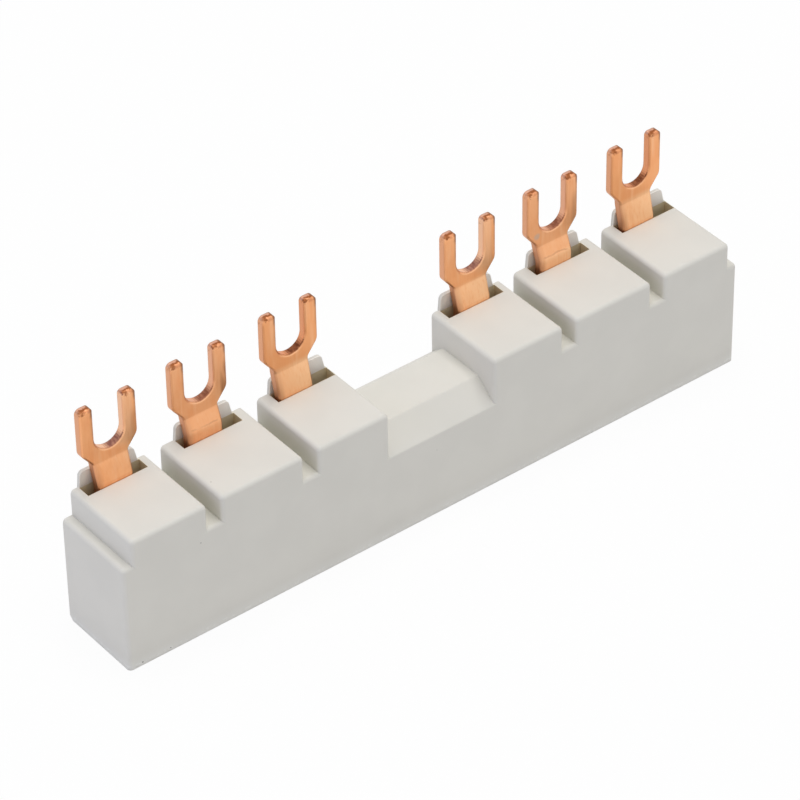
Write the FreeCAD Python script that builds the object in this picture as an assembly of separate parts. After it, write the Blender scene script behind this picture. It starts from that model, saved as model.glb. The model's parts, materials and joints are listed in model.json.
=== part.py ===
"""Comb busbar: a moulded housing with six towers over three bent copper combs.

The part stands on its base. X runs along the row of towers, Y from the front face to
the back face, and Z up. The origin is the middle of the base.
"""
import FreeCAD, Part
import math
import os
from collections import namedtuple

Vector = FreeCAD.Vector

# Tongues along the row: the same three phases in each of two groups
group_pitch = 54.0
step_1_to_2 = 13.05
step_2_to_3 = 13.49

# Housing, outside, with one value for each of the three phases where there are three
housing_depth = 12.5
shoulder_height = 15.45
tower_rise = 3.68
end_ledge = 1.38
pocket_offsets = (0.22, 1.04, 1.5)
left_walls = (1.1, 2.0, 1.7)
right_walls = (1.2, 1.5, 0.35)
pocket_depth = 1.83
corner_radius = 0.6
front_edge_radius = 0.55
back_edge_chamfer = 0.2
back_base_chamfer = 0.8

# Saddle between the two groups of towers
ridge_drop = 0.4
front_slope_drop = 2.75
front_slope_depth = 3.3
back_slope_drop = 2.0
back_slope_depth = 2.4
saddle_edge_radius = 0.35

# Tabs that rise behind the tongues
tab_thickness = 0.5
tab_rise = 2.17
tab_corner_radius = 0.6
tab_left_lean = 0.2
tab_right_step = 0.18
tab_right_lean = 0.52

# Housing, inside
front_wall = 1.2
end_wall = 1.4
shoulder_roof = 1.4
tower_roof = 1.3
saddle_roof = 1.3
base_lip = 0.7
saddle_web = 2.4

# Copper combs, with heights measured up from the tops of the towers, and with one value
# for each of the three phases where there are three
sheet = 1.1
fork_width = 8.0
fork_rise = 12.0
fork_lifts = (-0.41, -0.07, 0.34)
slot_width = 4.2
slot_depth = 6.85
neck_width = 5.05
neck_rise = 3.62
shoulder_rise = 1.9
shoulder_radius = 1.2
neck_radius = 1.0
tip_outer_radius = 0.7
tip_inner_radius = 0.5
tip_lead = 0.6
rollover = 0.22
joggle = 0.8
joggle_feet = (0.27, 1.17, 0.27)
crease_drops = (0.05, 0.26, 0.45)
bend_radius = 0.5
root_radius = 1.0
bar_overhang = 2.2
bar_corner_radius = 0.8

# Base cover and insulating strips
cover_thickness = 1.5
cover_recess = 0.1
rib_height = 1.4
strip_thickness = 0.8
strip_rise = 2.6
strip_seat = 0.5

# Clearances
fork_passage = 0.275
neck_clearance = 0.05
wall_clearance = 0.2
bar_clearance = 0.1
strip_clearance = 0.15
strip_slot_clearance = 0.1
crossing_clearance = 0.5
cover_clearance = 0.05

# How far a cutting block runs past what it cuts
overrun = 2.0

# Faces and levels that follow from the sizes above
front = -housing_depth / 2
back = housing_depth / 2
tower_height = shoulder_height + tower_rise
ridge_height = shoulder_height - ridge_drop
shoulder_ceiling = shoulder_height - shoulder_roof
saddle_ceiling = ridge_height - saddle_roof
tower_ceiling = tower_height - tower_roof
pocket_width = fork_width + 2 * fork_passage
pocket_back = back - tab_thickness
pocket_front = pocket_back - pocket_depth
cover_top = cover_recess + cover_thickness
strip_top = saddle_ceiling - strip_clearance
bar_top = strip_top - strip_rise
crossing_height = strip_top + crossing_clearance + sheet / 2
neck_feet = [tower_height + neck_rise + lift for lift in fork_lifts]
fork_tops = [tower_height + fork_rise + lift for lift in fork_lifts]

# Middle planes of the sheet, from the front face to the back
lower_leg = pocket_front + neck_clearance + sheet / 2
upper_leg = lower_leg + joggle
first_bar = front + front_wall + wall_clearance + sheet / 2
bar_planes = (first_bar, (first_bar + lower_leg) / 2, lower_leg)
strip_planes = [(near + far) / 2 for near, far in zip(bar_planes, bar_planes[1:])]
back_inside = lower_leg + sheet / 2 + wall_clearance

Tower = namedtuple("Tower", "left right pocket_left pocket_right tongue")


def tower_at(first_tongue, phase):
    """Edges of one tower, worked out from the tongue that it holds."""
    tongue = first_tongue + (0.0, step_1_to_2, step_1_to_2 + step_2_to_3)[phase]
    pocket_left = tongue + pocket_offsets[phase] - pocket_width / 2
    pocket_right = pocket_left + pocket_width
    return Tower(pocket_left - left_walls[phase], pocket_right + right_walls[phase],
                 pocket_left, pocket_right, tongue)


def place_groups():
    """Both groups of three towers, with the whole row centred on X = 0."""
    first = tower_at(0.0, 0)
    last = tower_at(group_pitch, 2)
    start = -(first.left + last.right) / 2
    return [[tower_at(start + group * group_pitch, phase) for phase in range(3)]
            for group in range(2)]


groups = place_groups()
left_group, right_group = groups
left_end = left_group[0].left - end_ledge
right_end = right_group[-1].right + end_ledge
saddle_left = left_group[-1].right
saddle_right = right_group[0].left


def box(x0, x1, y0, y1, z0, z1):
    """Block between two corners."""
    return Part.makeBox(x1 - x0, y1 - y0, z1 - z0, Vector(x0, y0, z0))


def rounded_wire(corners, place):
    """Closed wire through corners (u, v, radius), each rounded by its own radius."""
    stretches = []
    for index, (u, v, radius) in enumerate(corners):
        corner = Vector(u, v, 0)
        if radius == 0:
            stretches.append((corner, None, corner))
            continue
        before = corners[index - 1]
        after = corners[(index + 1) % len(corners)]
        to_before = (Vector(before[0], before[1], 0) - corner).normalize()
        to_after = (Vector(after[0], after[1], 0) - corner).normalize()
        half_angle = to_before.getAngle(to_after) / 2
        reach = radius / math.tan(half_angle)
        inward = (to_before + to_after).normalize()
        middle = corner + inward * (radius / math.sin(half_angle) - radius)
        stretches.append((corner + to_before * reach, middle, corner + to_after * reach))
    edges = []
    for index, (start, middle, end) in enumerate(stretches):
        if middle is not None:
            edges.append(Part.Arc(place(start), place(middle), place(end)).toShape())
        next_start = stretches[(index + 1) % len(stretches)][0]
        if not next_start.isEqual(end, 1e-6):
            edges.append(Part.LineSegment(place(end), place(next_start)).toShape())
    return Part.Wire(edges)


def front_view_prism(corners, y0, y1):
    """Outline (x, z, radius) drawn in the front view, extruded from y0 back to y1."""
    wire = rounded_wire(corners, lambda point: Vector(point.x, y0, point.y))
    return Part.Face(wire).extrude(Vector(0, y1 - y0, 0))


def side_view_prism(corners, x0, x1):
    """Outline (y, z, radius) drawn in the side view, extruded from x0 right to x1."""
    wire = rounded_wire(corners, lambda point: Vector(x0, point.x, point.y))
    return Part.Face(wire).extrude(Vector(x1 - x0, 0, 0))


def edges_in_plane(shape, y):
    """Edges that lie wholly in the upright plane at this y."""
    return [edge for edge in shape.Edges
            if all(abs(vertex.Y - y) < 1e-5 for vertex in edge.Vertexes)]


def tower_outline(group):
    """Front view of one group: grooved towers, with a ledge at the outer end."""
    floor = -overrun
    towers = groups[group]
    corners = []
    for tower in towers:
        corners += [(tower.left, shoulder_height, 0), (tower.left, tower_height, corner_radius),
                    (tower.right, tower_height, corner_radius), (tower.right, shoulder_height, 0)]
    if group == 0:
        corners[:0] = [(left_end, floor, 0), (left_end, shoulder_height, corner_radius)]
        corners[-1:] = [(towers[-1].right, floor, 0)]
    else:
        corners[:1] = [(towers[0].left, floor, 0)]
        corners += [(right_end, shoulder_height, corner_radius), (right_end, floor, 0)]
    return corners


def tower_block(group):
    """Solid block of one group, rounded along its front edges and eased along its back ones."""
    block = front_view_prism(tower_outline(group), front, back)
    block = block.makeFillet(front_edge_radius, edges_in_plane(block, front))
    return block.makeChamfer(back_edge_chamfer, edges_in_plane(block, back))


def saddle_block():
    """Lower link between the groups: a flat ridge with a slope to each face."""
    corners = [(front, -overrun, 0),
               (front, ridge_height - front_slope_drop, saddle_edge_radius),
               (front + front_slope_depth, ridge_height, saddle_edge_radius),
               (back - back_slope_depth, ridge_height, saddle_edge_radius),
               (back, ridge_height - back_slope_drop, saddle_edge_radius),
               (back, -overrun, 0)]
    return side_view_prism(corners, saddle_left - left_walls[-1], saddle_right + left_walls[0])


def tab_plate(tower):
    """Plate that rises behind a tongue, flush with the back face."""
    root = tower_height - pocket_depth
    top = tower_height + tab_rise
    left = tower.pocket_left
    right = tower.pocket_right - tab_right_step
    corners = [(left, root, 0), (left, tower_height, 0),
               (left + tab_left_lean, top, tab_corner_radius),
               (right - tab_right_lean, top, tab_corner_radius),
               (right, tower_height, 0), (right, root, 0)]
    return front_view_prism(corners, pocket_back, back)


def base_trim():
    """What comes off below the base, with the chamfer along its back edge."""
    chamfer = back_base_chamfer
    reach = chamfer + overrun
    below = box(left_end - overrun, right_end + overrun, front - overrun, back + overrun,
                -2 * overrun, 0)
    corners = [(back - chamfer, 0, 0), (back + overrun, reach, 0), (back + overrun, -overrun, 0),
               (back - chamfer, -overrun, 0)]
    return below.fuse(side_view_prism(corners, left_end - overrun, right_end + overrun))


def saddle_space():
    """Room for the bars from end to end, with an even wall under the saddle's slopes."""
    back_wall = back - back_inside
    front_ratio = front_slope_drop / front_slope_depth
    back_ratio = back_slope_drop / back_slope_depth
    front_level = (ridge_height - front_slope_drop + front_ratio * front_wall
                   - front_wall * math.hypot(1, front_ratio))
    back_level = (ridge_height - back_slope_drop + back_ratio * back_wall
                  - back_wall * math.hypot(1, back_ratio))
    front_reach = (saddle_ceiling - front_level) / front_ratio
    back_reach = (saddle_ceiling - back_level) / back_ratio
    front_inside = front + front_wall
    corners = [(front_inside, -overrun, 0), (front_inside, front_level, 0),
               (front_inside + front_reach, saddle_ceiling, 0),
               (back_inside - back_reach, saddle_ceiling, 0),
               (back_inside, back_level, 0), (back_inside, -overrun, 0)]
    return side_view_prism(corners, left_end + end_wall, right_end - end_wall)


def shoulder_space(x0, x1):
    """Higher room for the bars under one group of towers."""
    return box(x0, x1, front + front_wall, back_inside, -overrun, shoulder_ceiling)


def tower_space(tower):
    """Room for a tongue to cross inside its tower, and the pocket that it leaves by."""
    room = box(tower.pocket_left, tower.pocket_right, front + front_wall, back_inside,
               shoulder_ceiling - tower_roof, tower_ceiling)
    pocket = box(tower.pocket_left, tower.pocket_right, pocket_front, pocket_back,
                 tower_ceiling - tower_roof, tower_height + overrun)
    return room.fuse(pocket)


def hold_down_web(x0, x1):
    """Web across the housing that comes down to just over the bars."""
    return box(x0, x1, front, back, bar_top + bar_clearance, tower_height)


def strip_slot(plane):
    """Slot for one insulating strip, let into both end walls and every web."""
    half = strip_thickness / 2 + strip_slot_clearance
    reach = end_wall - strip_seat
    return box(left_end + reach, right_end - reach, plane - half, plane + half,
               -overrun, strip_top + strip_slot_clearance)


def cover_rebate():
    """Step round the open base that the cover seats in."""
    return box(left_end + base_lip, right_end - base_lip, front + base_lip, back_inside,
               -overrun, cover_top)


def inner_space():
    """Everything that is hollow in the housing."""
    saddle_middle = (saddle_left + saddle_right) / 2
    webs = [hold_down_web(saddle_middle - saddle_web / 2, saddle_middle + saddle_web / 2)]
    rooms = [shoulder_space(left_end + end_wall, saddle_left - end_wall),
             shoulder_space(saddle_right + end_wall, right_end - end_wall)]
    for towers in groups:
        webs += [hold_down_web(near.right, far.left) for near, far in zip(towers, towers[1:])]
        rooms += [tower_space(tower) for tower in towers]
    space = saddle_space().fuse(rooms).cut(webs)
    return space.fuse([cover_rebate()] + [strip_slot(plane) for plane in strip_planes])


def make_housing():
    """One moulding: towers, saddle, tabs, pockets and the ribbed inside."""
    solid = tower_block(0).fuse([tower_block(1), saddle_block()])
    solid = solid.cut(base_trim())
    solid = solid.fuse([tab_plate(tower) for towers in groups for tower in towers])
    return solid.cut(inner_space()).removeSplitter()


def comb_outline(phase):
    """Front view of one comb as it is stamped: a bar with two forked tongues."""
    half_fork = fork_width / 2
    half_slot = slot_width / 2
    half_neck = neck_width / 2
    neck_foot = neck_feet[phase]
    shoulder_top = neck_foot + shoulder_rise
    fork_top = fork_tops[phase]
    slot_floor = fork_top - slot_depth
    tongues = [towers[phase].tongue for towers in groups]
    left = tongues[0] - half_neck - bar_overhang
    right = tongues[-1] + half_neck + bar_overhang
    corners = [(left, cover_top, bar_corner_radius), (left, bar_top, bar_corner_radius)]
    for x in tongues:
        corners += [(x - half_neck, bar_top, root_radius),
                    (x - half_neck, neck_foot, neck_radius),
                    (x - half_fork, shoulder_top, shoulder_radius),
                    (x - half_fork, fork_top, tip_outer_radius),
                    (x - half_slot, fork_top, tip_inner_radius),
                    (x - half_slot, slot_floor, half_slot),
                    (x + half_slot, slot_floor, half_slot),
                    (x + half_slot, fork_top, tip_inner_radius),
                    (x + half_fork, fork_top, tip_outer_radius),
                    (x + half_fork, shoulder_top, shoulder_radius),
                    (x + half_neck, neck_foot, neck_radius),
                    (x + half_neck, bar_top, root_radius)]
    return corners + [(right, bar_top, bar_corner_radius), (right, cover_top, bar_corner_radius)]


def sheet_path(phase):
    """Middle line of one comb's sheet in the side view, from the bar up to the tips."""
    plane = bar_planes[phase]
    path = [Vector(plane, cover_top)]
    if plane < lower_leg:
        path += [Vector(plane, crossing_height), Vector(lower_leg, crossing_height)]
    return path + [Vector(lower_leg, tower_height + joggle_feet[phase]),
                   Vector(upper_leg, neck_feet[phase] - crease_drops[phase]),
                   Vector(upper_leg, fork_tops[phase])]


def sheet_face(path, distance):
    """One face of the bent sheet: the path moved to its left, with a radius at each bend."""
    corners = []
    for index, point in enumerate(path):
        arriving = (point - path[max(index - 1, 0)])
        leaving = (path[min(index + 1, len(path) - 1)] - point)
        if index == 0:
            arriving = leaving
        if index == len(path) - 1:
            leaving = arriving
        across = Vector(-arriving.y, arriving.x).normalize()
        mitre = (across + Vector(-leaving.y, leaving.x).normalize()).normalize()
        moved = point + mitre * (distance / mitre.dot(across))
        turn = arriving.x * leaving.y - arriving.y * leaving.x
        if abs(turn) < 1e-6:
            radius = 0
        elif turn * distance < 0:
            radius = bend_radius + sheet
        else:
            radius = bend_radius
        corners.append((moved.x, moved.y, radius))
    return corners


def bent_sheet(phase, lead):
    """The sheet in its bends, as wide as the whole row, with a lead radius at the front of its tip."""
    path = sheet_path(phase)
    *near, (tip_y, tip_z, _) = sheet_face(path, sheet / 2)
    far = sheet_face(path, -sheet / 2)
    return side_view_prism(near + [(tip_y, tip_z, lead)] + far[::-1], left_end, right_end)


def make_comb(phase):
    """One phase: a stamped bar with two forked tongues, bent, and eased on its punched side."""
    stamped = front_view_prism(comb_outline(phase), front - overrun, back + overrun)
    comb = stamped.common(bent_sheet(phase, 0))
    fork_rims = [edge for edge in edges_in_plane(comb, upper_leg - sheet / 2)
                 if edge.BoundBox.ZMin > neck_feet[phase]]
    return comb.makeChamfer(rollover, fork_rims).common(bent_sheet(phase, tip_lead))


def make_strip(plane):
    """Flat insulating strip that stands between two bars."""
    half = strip_thickness / 2
    reach = end_wall - strip_seat + strip_slot_clearance
    return box(left_end + reach, right_end - reach, plane - half, plane + half,
               cover_top, strip_top)


def make_cover():
    """Base cover with low ribs that keep the bars and strips upright."""
    gap = base_lip + cover_clearance
    plate = box(left_end + gap, right_end - gap, front + gap, back_inside - cover_clearance,
                cover_recess, cover_top)
    reach = end_wall + bar_clearance
    ribs = []
    for strip, near_bar, far_bar in zip(strip_planes, bar_planes, bar_planes[1:]):
        from_bar = sheet / 2 + bar_clearance
        from_strip = strip_thickness / 2 + strip_slot_clearance
        for y0, y1 in ((near_bar + from_bar, strip - from_strip),
                       (strip + from_strip, far_bar - from_bar)):
            ribs.append(box(left_end + reach, right_end - reach, y0, y1,
                            cover_recess, cover_top + rib_height))
    return plate.fuse(ribs).removeSplitter()


def export(shape, name):
    """Write one sub-part, and say what it is like."""
    shape.exportStep("parts/" + name + ".step")
    print(name, "solids", len(shape.Solids), "valid", shape.isValid(), "volume %.2f" % shape.Volume)


def main():
    os.makedirs("parts", exist_ok=True)
    export(make_housing(), "housing")
    export(make_cover(), "base_cover")
    for phase, name in enumerate(("phase_bar_l1", "phase_bar_l2", "phase_bar_l3")):
        export(make_comb(phase), name)
    for plane, name in zip(strip_planes, ("insulating_strip_front", "insulating_strip_rear")):
        export(make_strip(plane), name)


main()
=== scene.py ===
"""Looks for the comb busbar: moulded plastic, sheared copper, soft light and a pale floor."""
import json
import math
from collections import namedtuple

import bpy
from mathutils import Matrix, Vector


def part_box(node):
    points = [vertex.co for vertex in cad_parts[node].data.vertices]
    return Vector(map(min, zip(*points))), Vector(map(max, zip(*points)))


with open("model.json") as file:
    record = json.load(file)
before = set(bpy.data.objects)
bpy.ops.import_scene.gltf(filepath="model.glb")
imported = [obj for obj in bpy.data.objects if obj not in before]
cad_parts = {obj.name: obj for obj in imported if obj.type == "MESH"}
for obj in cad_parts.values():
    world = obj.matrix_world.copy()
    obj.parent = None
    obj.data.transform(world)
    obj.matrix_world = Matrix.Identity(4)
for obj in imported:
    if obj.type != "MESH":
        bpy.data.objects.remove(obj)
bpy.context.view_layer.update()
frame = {"nodes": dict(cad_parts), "record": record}

MM = 0.001

# Camera, as the photograph was taken
CAMERA_POINT = Vector((-264.42, -342.93, 359.45)) * MM
CAMERA_TURN = math.radians(37.46)
CAMERA_DROP = math.radians(38.63)
CAMERA_ROLL = math.radians(0.99)
LENS_MM = 204.59
SENSOR_MM = 36.0

# Colours, linear
WHITE = (1.0, 1.0, 1.0, 1.0)
PLASTIC = (0.745, 0.72, 0.665)
GROOVE_PAINTED_SHADE = (0.54, 0.54, 0.46)
POCKET_PAINTED_REFLECTION = (0.78, 0.68, 0.46)
TAB_LEFT_PAINTED_LIGHT = (0.88, 0.82, 0.73)
TAB_RIGHT_PAINTED_LIGHT = (0.99, 0.95, 0.88)
FLASH_AND_PAINTED_LIGHT = (0.93, 0.92, 0.89)
FLASH_SHADE = (0.56, 0.54, 0.49)
SCUFF = (0.16, 0.14, 0.12)
STRIP = (0.62, 0.60, 0.52)
WARM_COPPER = (0.88, 0.38, 0.165)
PALE_COPPER = (0.97, 0.56, 0.32)
NECK_PAINTED_HIGHLIGHT = (1.0, 0.63, 0.36)
CUT_COPPER = (0.74, 0.38, 0.22)
NECK_WALL_PAINTED_SHADE = (0.62, 0.30, 0.17)
NECK_FOOT_PAINTED_SHADE = (0.45, 0.20, 0.10)
TIP_COPPER = (0.57, 0.33, 0.25)
MARK_COPPER = (0.28, 0.09, 0.028)
SHADE_COPPER = (0.30, 0.13, 0.065)
EDGE_SHADE_AND_SCRATCH_COPPER = (0.58, 0.25, 0.13)
RUBBED_COPPER = (0.33, 0.12, 0.05)
STAIN = (0.55, 0.47, 0.42)
FLOOR = (0.92, 0.92, 0.92)

# What differs from one phase to the next: the rolled face, the slot's walls and torn floor, how pale the
# right prong is, how far it is rubbed, how clear a scratch crosses the neck, and how far the neck keeps
# the face's deeper colour above that scratch, in place of its painted highlight
PhaseLook = namedtuple("PhaseLook", "face wall torn pale rubbed scratched deep")
PHASE_LOOKS = {
    "l1": PhaseLook(face=(0.97, 0.47, 0.22), wall=(0.87, 0.53, 0.345), torn=(0.24, 0.105, 0.085),
                    pale=0.7, rubbed=0.25, scratched=0.0, deep=0.0),
    "l2": PhaseLook(face=(0.92, 0.455, 0.225), wall=(0.78, 0.42, 0.265), torn=(0.23, 0.085, 0.05),
                    pale=0.0, rubbed=0.7, scratched=0.5, deep=0.75),
    "l3": PhaseLook(face=(0.89, 0.41, 0.18), wall=(0.76, 0.335, 0.165), torn=(0.16, 0.05, 0.022),
                    pale=0.0, rubbed=0.0, scratched=0.0, deep=0.0),
}

# Forks, in millimetres, as they are cut
GROUP_PITCH = 54.0
PRONG_OFFSET = 3.05
SLOT_HALF = 2.1
SLOT_DEPTH = 6.85
TIP_LEAD = 0.6
NECK_TOP = 8.1
NECK_FOOT = 12.0
NECK_HALF = 2.525
SCRATCH_DEPTH = 10.15
SCRATCH_SLOPE = 0.045

# Fades on the forks, in millimetres below the tip, from none to full
NECK_FADE = (NECK_TOP - 0.3, NECK_TOP + 0.6)
FOOT_FADE = (NECK_TOP + 0.6, NECK_FOOT)
DEEP_FADE = (SCRATCH_DEPTH + 0.4, SCRATCH_DEPTH - 0.4)
SLOT_FADE = (SLOT_DEPTH + 0.45, SLOT_DEPTH + 0.3)
PALE_PRONG_FADE = (8.0, 6.5)
RUB_FADE_IN = (1.8, 4.4)
RUB_FADE_OUT = (8.4, 7.4)
EASED_FADE = (0.8, 1.1)
END_BAND_FADE = (0.8, 0.3)
MARKS_FADE = (1.3, 0.9)
SHOULDER_FADE = (1.5, 0.6)
FAR_SIDE_FADE = (1.8, 0.9)
BESIDE_FADE = (4.6, 3.4)
# The same along the row, where the painted highlight on the first two necks is weaker than on the rest,
# and across a fork, where a scratch runs out
BRIGHT_NECKS = (-24.0, -18.0)
SCRATCH_ENDS = (2.1, 1.6)

# Marks on each tip, in millimetres: how far a line lies back over it, and how far a patch
# lies back and to the left of the prong's middle
LINE_BACK = 0.48
PATCH_BACK = 0.10
PATCH_LEFT = 0.50

# Patterns in the copper, as changes per millimetre, along each axis or along all
STREAK_SCALE = (4.0, 4.0, 0.22)
BAND_SCALE = (1.1, 1.1, 0.12)
CLOUD_SCALE = (0.55, 0.55, 0.3)
TORN_SCALE = (3.0, 1.2, 3.0)
BLOTCH_SCALE = (2.4, 2.4, 3.0)
FINE_SCALE = 9.0
STAIN_SCALE = 2.5

# Patterns in the plastic, in the same way
HOUSING_GRAIN = 11.0
COVER_GRAIN = 7.0
STRIP_GRAIN = 4.0
PLASTIC_CLOUDS = 0.16
CRUMB_SCALE = (1.5, 1.5, 2.4)
SCUFF_SCALE = 6.0

# Softened edges, in millimetres
PLASTIC_EDGE = 0.12
COPPER_EDGE = 0.32
GLINT_EDGE = 0.20

# Pockets, in millimetres: how far each lies to the right of its tongue, and its hollow
POCKET_OFFSETS = (0.22, 1.04, 1.5)
POCKET_HALF = 4.275
POCKET_FRONT = 3.92
POCKET_BACK = 5.75
TOWER_TOP = 19.13
# How far out of its corner a groove gets painted shade
GROOVE_REACH = 3.0

# Rim of the housing, in millimetres above the floor: the top and the foot of its rough flash line, and
# how high the painted light, paler towards the floor, reaches over it
FLASH_TOP = 0.72
FLASH_FOOT = 0.28
PAINTED_LIGHT_TOP = 1.9

# Small dark scuffs on the housing and one stain on a fork: place and radius, in millimetres
SCUFFS = (
    ((-41.30, -6.25, 0.48), 0.10),
    ((-45.38, -6.25, 0.48), 0.12),
    ((-36.20, -6.25, 14.03), 0.09),
    ((-32.15, -3.04, 19.13), 0.08),
    ((-0.93, -6.25, 9.95), 0.06),
)
FORK_STAIN = ((23.76, 4.77, 24.24), 0.50)

# Light: the surroundings, and lamps by place and side in metres, power in watts and colour
WORLD_STRENGTH = 0.53
WORLD_COLOUR = (0.95, 0.965, 1.0)
Lamp = namedtuple("Lamp", "name point side power colour")
LAMPS = (
    Lamp("top_lamp", (0.05, 0.0, 0.80), 0.50, 3.1, (1.0, 1.0, 0.955)),
    Lamp("back_lamp", (-0.25, 0.70, 0.70), 0.50, 0.45, (1.0, 0.96, 0.85)),
    Lamp("left_lamp", (-0.80, 0.0, 0.35), 0.40, 0.58, (0.345, 0.465, 1.0)),
)
LAMP_TARGET = Vector((0.0, 0.0, 0.01))

# Floor: half its side in metres, and the share of plain white that the camera sees in it
FLOOR_HALF = 3.0
FLOOR_WHITE = 0.93

STRIP_NODES = ("insulating_strip_front", "insulating_strip_rear")


class Nodes:
    """A short way to add and link the shader nodes of one material or world."""

    def __init__(self, owner):
        owner.use_nodes = True
        self.owner = owner
        self.tree = owner.node_tree

    def add(self, kind, inputs=None, **settings):
        """Make a node, with its settings and with values or links in its sockets."""
        node = self.tree.nodes.new(kind)
        for key, value in settings.items():
            setattr(node, key, value)
        for key, value in (inputs or {}).items():
            self.put(node, key, value)
        return node

    def put(self, node, key, value):
        """Set a socket to a plain value, or link another node's output to it."""
        if isinstance(value, bpy.types.NodeSocket):
            self.tree.links.new(value, node.inputs[key])
        else:
            node.inputs[key].default_value = value

    def math(self, operation, *values):
        return self.add("ShaderNodeMath", dict(enumerate(values)), operation=operation).outputs[0]

    def product(self, *values):
        result = values[0]
        for value in values[1:]:
            result = self.math("MULTIPLY", result, value)
        return result

    def plus(self, first, second):
        return self.math("ADD", first, second)

    def minus(self, first, second):
        return self.math("SUBTRACT", first, second)

    def greater(self, first, second):
        return self.math("MAXIMUM", first, second)

    def size(self, value):
        return self.math("ABSOLUTE", value)

    def measure(self, operation, *vectors):
        """A number worked out from vectors, such as a length or a distance."""
        node = self.add("ShaderNodeVectorMath", dict(enumerate(vectors)), operation=operation)
        return node.outputs["Value"]

    def remap(self, value, low, high, first, last, interpolation="LINEAR"):
        """first at low and below, last at high and above, and in between from one to the other."""
        return self.add("ShaderNodeMapRange", {"Value": value, "From Min": low, "From Max": high,
                                               "To Min": first, "To Max": last},
                        interpolation_type=interpolation).outputs[0]

    def ramp(self, value, start, end):
        """0 below start, 1 above end, smooth between them; a start above the end falls instead."""
        low, high, first, last = (start, end, 0.0, 1.0) if start < end else (end, start, 1.0, 0.0)
        return self.remap(value, low, high, first, last, "SMOOTHSTEP")

    def blend(self, share, base, over):
        """The base colour where the share is 0, and the colour over it where it is 1."""
        node = self.add("ShaderNodeMix", data_type="RGBA")
        self.put(node, "Factor", share)
        for key, value in ((6, base), (7, over)):
            if not isinstance(value, bpy.types.NodeSocket):
                value = (*value, 1.0)
            self.put(node, key, value)
        return node.outputs[2]

    def place(self, scale=(1.0, 1.0, 1.0)):
        """Object coordinates in millimetres, stretched by scale along each axis."""
        coordinates = self.add("ShaderNodeTexCoord").outputs["Object"]
        factors = tuple(part / MM for part in scale)
        return self.add("ShaderNodeMapping", {"Vector": coordinates, "Scale": factors}).outputs[0]

    def wrapped(self, x, middle):
        """Distance along the row from a middle plane that comes again in each group."""
        return self.math("WRAP", self.minus(x, middle), GROUP_PITCH / 2, -GROUP_PITCH / 2)

    def split(self, vector):
        return self.add("ShaderNodeSeparateXYZ", {"Vector": vector}).outputs

    def noise(self, vector, scale, detail, rough=0.5):
        return self.add("ShaderNodeTexNoise", {"Vector": vector, "Scale": scale, "Detail": detail,
                                               "Roughness": rough}).outputs["Fac"]

    def spot(self, point, radius, ragged):
        """1 within radius of a point, in millimetres, with a ragged rim, and 0 outside."""
        away = self.measure("DISTANCE", self.place(), point)
        uneven = self.plus(away, self.product(ragged, radius / 2))
        return self.ramp(uneven, 1.5 * radius, 0.7 * radius)

    def round_edges(self, radius):
        """Normal that turns smoothly over each edge, as on a real softened edge."""
        return self.add("ShaderNodeBevel", {"Radius": radius * MM}, samples=6).outputs[0]

    def bump(self, height, distance, strength, normal):
        return self.add("ShaderNodeBump", {"Height": height, "Distance": distance * MM,
                                           "Strength": strength, "Normal": normal}).outputs[0]

    def seen_rays(self):
        """1 for what the camera, metal or glass sees, and 0 for what lights a surface."""
        paths = self.add("ShaderNodeLightPath").outputs
        seen = self.greater(paths["Is Camera Ray"], paths["Is Glossy Ray"])
        return self.greater(seen, paths["Is Transmission Ray"])


class Finish(Nodes):
    """The nodes of one new material."""

    def __init__(self, name):
        super().__init__(bpy.data.materials.new(name))
        self.shader = self.tree.nodes["Principled BSDF"]


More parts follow.
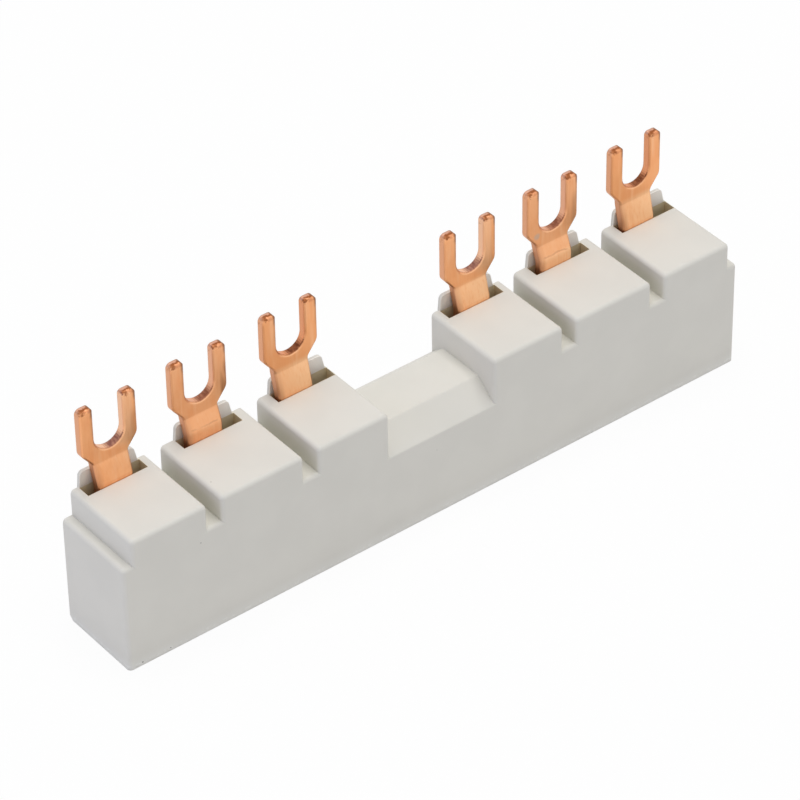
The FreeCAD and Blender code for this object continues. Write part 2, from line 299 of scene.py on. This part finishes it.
class Plastic(Finish):
    """Matt moulded plastic."""

    def clouded(self, colour):
        """Faint clouds in the colour, and painted shade, darker and greener, deep in grooves."""
        clouds = self.noise(self.place(), PLASTIC_CLOUDS, 2.0)
        dark = tuple(part * 0.985 for part in colour)
        light = tuple(part * 1.01 for part in colour)
        tint = self.blend(self.ramp(clouds, 0.35, 0.65), dark, light)
        # Painted shade: where little is open round a point, as deep in grooves and pockets, the colour
        # turns darker and greener.
        openness = self.add("ShaderNodeAmbientOcclusion", {"Distance": GROOVE_REACH * MM}, samples=8,
                            only_local=True).outputs["AO"]
        return self.blend(self.product(self.ramp(openness, 0.66, 0.32), 0.45), tint, GROOVE_PAINTED_SHADE)

    def pocketed(self, tint, pockets):
        """Painted reflection: a warmer tint in each pocket, round the copper. Painted light: a paler tint
        on the tab behind it.
        """
        x, y, z = self.split(self.place())
        between = self.product(self.ramp(y, POCKET_FRONT - 0.12, POCKET_FRONT - 0.02),
                               self.ramp(y, POCKET_BACK + 0.2, POCKET_BACK + 0.1))
        above = self.ramp(z, TOWER_TOP - 0.04, TOWER_TOP + 0.04)
        for middle in pockets:
            beside = self.wrapped(x, middle)
            recess = self.product(between, self.ramp(self.size(beside), POCKET_HALF + 0.1,
                                                     POCKET_HALF + 0.02))
            # Painted light on the tab above the tower top, lightest on its right, and painted warm
            # reflection in the pocket below it.
            tab = self.blend(self.ramp(beside, -POCKET_HALF, POCKET_HALF / 2), TAB_LEFT_PAINTED_LIGHT, TAB_RIGHT_PAINTED_LIGHT)
            tint = self.blend(recess, tint, self.blend(above, POCKET_PAINTED_REFLECTION, tab))
        return tint

    def flash_lined(self, tint):
        """A rough pale flash line round the base, over a thin darker rim, under painted light that grows
        paler towards the floor.
        """
        height = self.split(self.place())[2]
        crumbs = self.noise(self.place(CRUMB_SCALE), 1.0, 4.0, 0.7)
        # Painted light: the plastic grows paler towards the floor, over the shade that falls next to it.
        painted_base_light = self.product(self.ramp(height, PAINTED_LIGHT_TOP, 0.0), 0.34)
        over_foot = self.ramp(height, FLASH_FOOT - 0.10, FLASH_FOOT + 0.10)
        line = self.product(over_foot, self.ramp(height, FLASH_TOP + 0.08, FLASH_TOP - 0.08),
                            self.ramp(crumbs, 0.46, 0.60), 0.55)
        tint = self.blend(self.greater(painted_base_light, line), tint, FLASH_AND_PAINTED_LIGHT)
        rim = self.product(self.minus(1.0, over_foot), self.ramp(crumbs, 0.54, 0.42), 0.25)
        return self.blend(rim, tint, FLASH_SHADE)

    def scuffed(self, tint):
        """A few small dark scuffs."""
        ragged = self.noise(self.place(), SCUFF_SCALE, 3.0)
        for point, radius in SCUFFS:
            tint = self.blend(self.product(self.spot(point, radius, ragged), 0.75), tint, SCUFF)
        return tint

    def surface(self, tint, grain):
        """Matt surface with a fine spark-eroded grain and softened edges."""
        fine = self.noise(self.place(), grain, 4.0, 0.6)
        self.put(self.shader, "Base Color", tint)
        self.put(self.shader, "Roughness", self.remap(fine, 0.0, 1.0, 0.50, 0.64))
        self.put(self.shader, "Specular IOR Level", 0.35)
        self.put(self.shader, "Normal", self.bump(fine, 0.010, 0.4, self.round_edges(PLASTIC_EDGE)))


class Copper(Finish):
    """Bare rolled copper of one comb, with the distances on its forks that place each mark."""

    def __init__(self, name, tongue, tip_height, front_plane, look):
        super().__init__(name)
        self.look = look
        self.true = self.add("ShaderNodeNewGeometry").outputs["True Normal"]
        self.normal = self.split(self.true)
        self.rounded = self.round_edges(COPPER_EDGE)
        self.soft = self.split(self.rounded)
        self.x, y, z = self.split(self.place())
        self.across = self.wrapped(self.x, tongue)
        self.from_middle = self.size(self.across)
        prong_middle = self.product(self.math("SIGN", self.across), PRONG_OFFSET)
        self.along_prong = self.minus(self.across, prong_middle)
        self.below_tip = self.minus(tip_height, z)
        self.behind_front = self.minus(y, front_plane)

        self.streaks = self.noise(self.place(STREAK_SCALE), 1.0, 4.0, 0.6)
        self.bands = self.noise(self.place(BAND_SCALE), 1.0, 2.0)
        self.clouds = self.noise(self.place(CLOUD_SCALE), 1.0, 3.0)
        self.torn = self.noise(self.place(TORN_SCALE), 1.0, 4.0, 0.65)
        self.blotches = self.noise(self.place(BLOTCH_SCALE), 1.0, 3.0, 0.6)
        self.uneven = self.minus(self.blotches, 0.5)

        self.cut = self.ramp(self.size(self.soft[1]), 0.80, 0.30)
        self.in_slot = self.product(self.ramp(self.from_middle, SLOT_HALF + 0.35, SLOT_HALF + 0.2),
                                    self.below(SLOT_FADE))
        self.on_neck = self.below(NECK_FADE)
        self.to_foot = self.below(FOOT_FADE)

    def below(self, fade):
        """Fade by the distance below the tip."""
        return self.ramp(self.below_tip, *fade)

    def rolled_face(self):
        """Brushed face: warm clouds, pale bands and streaks, and a painted highlight that brightens the
        neck.
        """
        look = self.look
        face = self.blend(self.product(self.ramp(self.clouds, 0.42, 0.68), 0.55), look.face, WARM_COPPER)
        face = self.blend(self.product(self.ramp(self.bands, 0.50, 0.68), 0.45), face, PALE_COPPER)
        face = self.blend(self.product(self.ramp(self.streaks, 0.5, 0.75), 0.3), face, PALE_COPPER)
        # Painted highlight: the neck is brighter, more so on its right and past the first two necks, and,
        # where a phase says so, less above the scratch.
        neck_highlight = self.plus(self.product(self.ramp(self.x, *BRIGHT_NECKS), 0.5),
                               self.product(self.ramp(self.across, -1.5, 1.5), 0.2))
        kept = self.product(self.below(DEEP_FADE), look.deep)
        neck_highlight = self.product(neck_highlight, self.minus(1.0, kept))
        face = self.blend(self.product(self.on_neck, neck_highlight), face, NECK_PAINTED_HIGHLIGHT)
        face = self.blend(self.product(self.on_neck, kept, 0.5), face, look.face)
        pale_prong = self.product(self.ramp(self.across, 0.0, 1.5), self.ramp(self.along_prong, 0.4, 0.0),
                                  self.below(PALE_PRONG_FADE), look.pale)
        face = self.blend(pale_prong, face, PALE_COPPER)
        return self.blend(self.product(self.ramp(self.streaks, 0.52, 0.28), 0.4), face, WARM_COPPER)

    def sheared_walls(self, face):
        """Duller walls where the fork, its slot and its neck are cut, with painted shade on the neck's
        walls and its left side, darker towards the pocket, and on an eased corner.
        """
        # Painted shade: the neck's cut walls darken towards the pocket.
        neck_painted_shade = self.blend(self.to_foot, NECK_WALL_PAINTED_SHADE, NECK_FOOT_PAINTED_SHADE)
        wall = self.blend(self.on_neck, CUT_COPPER, neck_painted_shade)
        tint = self.blend(self.product(self.cut, 0.9), face, wall)
        tint = self.blend(self.product(self.in_slot, self.cut), tint, self.look.wall)
        # Painted shade on the neck's left side, darker towards the pocket.
        neck_side_painted_shade = self.product(self.on_neck, self.ramp(self.across, 1.1 - NECK_HALF, 0.1 - NECK_HALF),
                               self.plus(self.product(self.to_foot, 0.35), 0.35))
        tint = self.blend(neck_side_painted_shade, tint, neck_painted_shade)
        # Painted shade: eased corners between the faces and the cut walls are a little darker.
        slant = self.size(self.normal[1])
        eased = self.product(self.ramp(slant, 0.95, 0.85), self.ramp(slant, 0.3, 0.5),
                             self.below(EASED_FADE), 0.12)
        return self.blend(eased, tint, EDGE_SHADE_AND_SCRATCH_COPPER)

    def slot_lip_painted_highlight(self):
        """1 on the front rim of the slot's floor, where a highlight is painted."""
        return self.product(self.in_slot, self.ramp(self.normal[2], 0.45, 0.65),
                            self.ramp(self.behind_front, 0.11, 0.06))

    def tear(self):
        """1 on the rough part of the slot's round floor, behind a clean rim. It is torn metal, drawn only
        where the floor faces left, so that one-sidedness is painted shade.
        """
        facing_left = self.product(self.normal[0], -1.0)
        past_rim = self.plus(self.behind_front, self.product(self.torn, 0.12))
        floor = self.product(self.ramp(facing_left, -0.42, 0.10), self.ramp(facing_left, 0.97, 0.62),
                             self.ramp(self.normal[2], 0.15, 0.40))
        patchy = self.remap(self.torn, 0.3, 0.6, 0.72, 1.0)
        return self.product(self.in_slot, floor, self.ramp(past_rim, 0.10, 0.24), patchy)

    def rubbed(self, tint):
        """Right prongs that are rubbed, more so in the first group."""
        first_group = self.ramp(self.x, 1.0, -1.0)
        rub = self.product(self.ramp(self.along_prong, -0.25, 0.25), self.ramp(self.across, 0.0, 0.5),
                           self.below(RUB_FADE_IN), self.below(RUB_FADE_OUT),
                           self.ramp(self.bands, 0.25, 0.48),
                           self.plus(self.product(first_group, 0.5), 0.5), self.look.rubbed)
        return self.blend(rub, tint, RUBBED_COPPER)

    def scratched(self, tint):
        """A wavy scratch across the neck."""
        sloping = self.minus(self.below_tip, self.product(self.across, SCRATCH_SLOPE))
        wavy = self.plus(self.product(self.clouds, 0.8), self.product(self.blotches, 0.2))
        depth = self.plus(sloping, self.minus(wavy, 0.5))
        scratch = self.product(self.ramp(self.size(self.minus(depth, SCRATCH_DEPTH)), 0.16, 0.03),
                               self.ramp(self.from_middle, *SCRATCH_ENDS),
                               self.ramp(self.clouds, 0.3, 0.45), self.look.scratched)
        return self.blend(scratch, tint, EDGE_SHADE_AND_SCRATCH_COPPER)

    def tip_marks(self):
        """Shares of dull metal, darkened by painted shade, and of dark marks over each rounded tip."""
        near_tip = self.below(MARKS_FADE)
        over_tip = self.minus(self.below_tip, self.behind_front)
        dull = self.product(self.ramp(self.size(self.plus(over_tip, 0.1)), 0.75, 0.35),
                            self.ramp(self.blotches, 0.66, 0.50), near_tip,
                            self.ramp(self.size(self.normal[0]), 0.6, 0.3))
        ragged = self.plus(over_tip, self.product(self.uneven, 0.7))
        line = self.product(self.ramp(self.size(self.plus(ragged, LINE_BACK)), 0.30, 0.12),
                            self.ramp(self.along_prong, -0.9, -0.4), 0.95)
        from_patch = self.add("ShaderNodeCombineXYZ", {
            "X": self.plus(self.along_prong, PATCH_LEFT),
            "Y": self.product(self.plus(ragged, PATCH_BACK), 0.8)}).outputs[0]
        away = self.plus(self.measure("LENGTH", from_patch), self.product(self.uneven, 0.8))
        patch = self.product(self.ramp(away, 0.50, 0.16), 0.85)
        return dull, self.product(self.greater(line, patch), near_tip)

    def marked_tips(self, tint, dull, marks):
        """Tips with a dull end band, dull metal under painted shade, dark marks and a right shoulder in
        painted shade.
        """
        end_band = self.product(self.ramp(self.behind_front, TIP_LEAD - 0.12, TIP_LEAD),
                                self.below(END_BAND_FADE), self.ramp(self.normal[2], 0.3, 0.7), 0.8)
        tint = self.blend(end_band, tint, TIP_COPPER)
        # Dull tip metal: rougher, and darkened by painted shade.
        tint = self.blend(self.product(dull, 0.6), tint, EDGE_SHADE_AND_SCRATCH_COPPER)
        tint = self.blend(marks, tint, MARK_COPPER)
        # Painted shade on the right shoulder of each tip.
        facing_right = self.greater(self.ramp(self.normal[0], 0.10, 0.35),
                                    self.ramp(self.soft[0], 0.10, 0.30))
        shoulder = self.product(facing_right, self.below(SHOULDER_FADE), 0.85)
        return self.blend(shoulder, tint, SHADE_COPPER)

    def shaded_edges(self, tint):
        """Painted shade: edges a little darker all round, and much darker on the right of each prong."""
        turned = self.measure("DOT_PRODUCT", self.rounded, self.true)
        rim = self.ramp(turned, 0.99, 0.90)
        # Painted shade on every edge, and more on the right of each prong.
        tint = self.blend(self.product(rim, 0.15), tint, EDGE_SHADE_AND_SCRATCH_COPPER)
        turning = self.product(rim, self.ramp(self.soft[0], 0.15, 0.6))
        beside = self.product(self.ramp(self.along_prong, 0.35, 0.75),
                              self.ramp(self.behind_front, 0.9, 0.6), self.below(BESIDE_FADE), 0.9)
        near_tip = self.plus(self.product(self.below(FAR_SIDE_FADE), 0.6), 0.3)
        far_side = self.product(self.greater(turning, beside), near_tip)
        return self.blend(far_side, tint, SHADE_COPPER)

    def stained(self, tint):
        """One grey stain."""
        stain = self.spot(*FORK_STAIN, self.noise(self.place(), STAIN_SCALE, 3.0))
        return self.blend(self.product(stain, 0.6), tint, STAIN)

    def surface(self, tint, tear, dull, marks):
        """Satin metal, brushed along the prongs, and rougher where it is cut, torn or marked."""
        self.put(self.shader, "Base Color", tint)
        self.put(self.shader, "Metallic", 1.0)
        rough = self.plus(self.remap(self.streaks, 0.0, 1.0, 0.26, 0.42), self.product(self.cut, 0.12))
        rough = self.plus(rough, self.product(self.greater(tear, dull), 0.25))
        self.put(self.shader, "Roughness", rough)
        brushed = self.bump(self.streaks, 0.015, 0.35, self.round_edges(GLINT_EDGE))
        deep = self.greater(tear, self.product(marks, 0.6))
        rough_cut = self.bump(self.torn, 0.05, deep, brushed)
        fine = self.noise(self.place(), FINE_SCALE, 3.0, 0.6)
        self.put(self.shader, "Normal", self.bump(fine, 0.015, 0.3, rough_cut))


def plain_plastic(name, colour, grain):
    """Moulded plastic with no marks."""
    plastic = Plastic(name)
    plastic.surface(plastic.clouded(colour), grain)
    return plastic.owner


def housing_plastic(pockets):
    """The housing's plastic, with painted reflection and light in its pockets, its flash line under
    painted light, and its scuffs.
    """
    plastic = Plastic("housing_plastic")
    tint = plastic.clouded(PLASTIC)
    tint = plastic.pocketed(tint, pockets)
    tint = plastic.flash_lined(tint)
    tint = plastic.scuffed(tint)
    plastic.surface(tint, HOUSING_GRAIN)
    return plastic.owner


def sheared_copper(name, tongue, tip_height, front_plane, look):
    """One comb's copper: brushed faces, sheared walls, torn slot floors, wear and marked tips, with
    painted highlights and painted shade.
    """
    copper = Copper(name, tongue, tip_height, front_plane, look)
    tear = copper.tear()
    dull, marks = copper.tip_marks()
    tint = copper.rolled_face()
    tint = copper.sheared_walls(tint)
    # Painted highlight: a pale line along the front rim of each slot's floor.
    tint = copper.blend(copper.product(copper.slot_lip_painted_highlight(), 0.6), tint, PALE_COPPER)
    # Torn metal on the slot floors, darkened on the side that faces left only, which is painted shade.
    tint = copper.blend(tear, tint, look.torn)
    tint = copper.rubbed(tint)
    tint = copper.scratched(tint)
    tint = copper.marked_tips(tint, dull, marks)
    tint = copper.shaded_edges(tint)
    tint = copper.stained(tint)
    copper.surface(tint, tear, dull, marks)
    return copper.owner


def floor_finish():
    """Pale floor that keeps the part's shadow and fades to white for the camera."""
    finish = Finish("pale_floor")
    finish.put(finish.shader, "Base Color", (*FLOOR, 1.0))
    finish.put(finish.shader, "Roughness", 0.9)
    finish.put(finish.shader, "Specular IOR Level", 0.1)
    white = finish.add("ShaderNodeEmission", {"Color": WHITE, "Strength": 1.0})
    shown = finish.product(finish.seen_rays(), FLOOR_WHITE)
    mixed = finish.add("ShaderNodeMixShader", {0: shown, 1: finish.shader.outputs[0],
                                               2: white.outputs[0]})
    finish.put(finish.tree.nodes["Material Output"], "Surface", mixed.outputs[0])
    return finish.owner


def make_floor():
    half = FLOOR_HALF
    mesh = bpy.data.meshes.new("floor")
    mesh.from_pydata([(-half, -half, 0), (half, -half, 0), (half, half, 0), (-half, half, 0)],
                     [], [(0, 1, 2, 3)])
    floor = bpy.data.objects.new("floor", mesh)
    bpy.context.scene.collection.objects.link(floor)
    mesh.materials.append(floor_finish())


def make_world():
    """Even pale surroundings, which metal and the camera see as plain white."""
    world = bpy.data.worlds.new("surroundings")
    bpy.context.scene.world = world
    nodes = Nodes(world)
    lit = nodes.tree.nodes["Background"]
    nodes.put(lit, "Color", (*WORLD_COLOUR, 1.0))
    nodes.put(lit, "Strength", WORLD_STRENGTH)
    white = nodes.add("ShaderNodeBackground", {"Color": WHITE, "Strength": 1.0})
    mixed = nodes.add("ShaderNodeMixShader", {0: nodes.seen_rays(), 1: lit.outputs[0],
                                              2: white.outputs[0]})
    nodes.put(nodes.tree.nodes["World Output"], "Surface", mixed.outputs[0])


def add_lamp(lamp):
    """Soft square lamp that faces the middle of the part."""
    data = bpy.data.lights.new(lamp.name, "AREA")
    data.shape = "SQUARE"
    data.size = lamp.side
    data.energy = lamp.power
    data.color = lamp.colour
    piece = bpy.data.objects.new(lamp.name, data)
    bpy.context.scene.collection.objects.link(piece)
    place = Vector(lamp.point)
    aim = (LAMP_TARGET - place).to_track_quat("-Z", "Y")
    piece.matrix_world = Matrix.Translation(place) @ aim.to_matrix().to_4x4()


def make_camera():
    data = bpy.data.cameras.new("camera")
    data.sensor_width = SENSOR_MM
    data.lens = LENS_MM
    data.clip_start = 0.01
    data.clip_end = 20.0
    camera = bpy.data.objects.new("camera", data)
    bpy.context.scene.collection.objects.link(camera)
    camera.matrix_world = (Matrix.Translation(CAMERA_POINT)
                           @ Matrix.Rotation(-CAMERA_TURN, 4, "Z")
                           @ Matrix.Rotation(math.pi / 2 - CAMERA_DROP, 4, "X")
                           @ Matrix.Rotation(-CAMERA_ROLL, 4, "Z"))
    bpy.context.scene.camera = camera


def finish_node(name, material):
    """Give a node of the frame its finish."""
    materials = frame["nodes"][name].data.materials
    materials.clear()
    materials.append(material)


def dress():
    """Finish every node, with the copper's marks and the pockets placed from the fork mounts."""
    mounts = {mount["name"]: mount["pos_m"] for mount in frame["record"]["mounts"]}
    pockets = []
    for (phase, look), offset in zip(PHASE_LOOKS.items(), POCKET_OFFSETS):
        name = "phase_bar_" + phase
        tongue, front_plane, _ = mounts["fork_" + phase + "_left"]
        tip_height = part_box(name)[1].z
        finish_node(name, sheared_copper("copper_" + phase, tongue / MM, tip_height / MM,
                                         front_plane / MM, look))
        pockets.append(tongue / MM + offset)
    finish_node("housing", housing_plastic(pockets))
    finish_node("base_cover", plain_plastic("cover_plastic", PLASTIC, COVER_GRAIN))
    strip = plain_plastic("strip_plastic", STRIP, STRIP_GRAIN)
    for name in STRIP_NODES:
        finish_node(name, strip)


dress()
make_floor()
make_world()
for lamp in LAMPS:
    add_lamp(lamp)
make_camera()
bpy.context.scene.view_settings.view_transform = "Standard"
